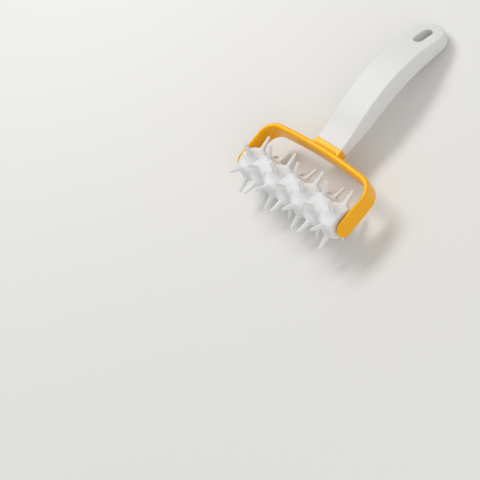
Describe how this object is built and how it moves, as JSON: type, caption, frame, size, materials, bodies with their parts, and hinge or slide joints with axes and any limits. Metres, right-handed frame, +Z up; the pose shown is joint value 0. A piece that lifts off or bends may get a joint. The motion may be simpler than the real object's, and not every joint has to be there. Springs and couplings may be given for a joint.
{
  "type": "dough docker",
  "caption": "Hand-held dough docker: a roller of spiked star rings on a keyed axle turns freely in a moulded U-shaped fork, and a curved handle plugs into the fork.",
  "frame": {"origin": "on the table, under the middle of the tool as it lies on its spikes and on the heel of its handle", "axes": "+X along the roller's axis, +Y from the roller towards the end of the handle, +Z up"},
  "size_m": [0.105, 0.176, 0.0436],
  "materials": {
    "yellow_plastic": "satin moulded",
    "white_plastic": "satin moulded",
    "ring_plastic": "satin moulded",
    "axle_plastic": "plain moulded"
  },
  "bodies": {
    "fork_and_handle": {"fork_frame": "yellow_plastic", "handle": "white_plastic"},
    "roller": {"axle": "axle_plastic", "spike_ring_1": "ring_plastic", "spike_ring_2": "ring_plastic", "spike_ring_3": "ring_plastic", "spike_ring_4": "ring_plastic", "spike_ring_5": "ring_plastic", "spike_ring_6": "ring_plastic", "spike_ring_7": "ring_plastic"}
  },
  "joints": [
    {"name": "roller_spin", "type": "hinge", "parent": "fork_and_handle", "child": "roller", "pos_m": [0, -0.06616, 0.02181], "axis": [1, 0, 0], "continuous": true}
  ]
}
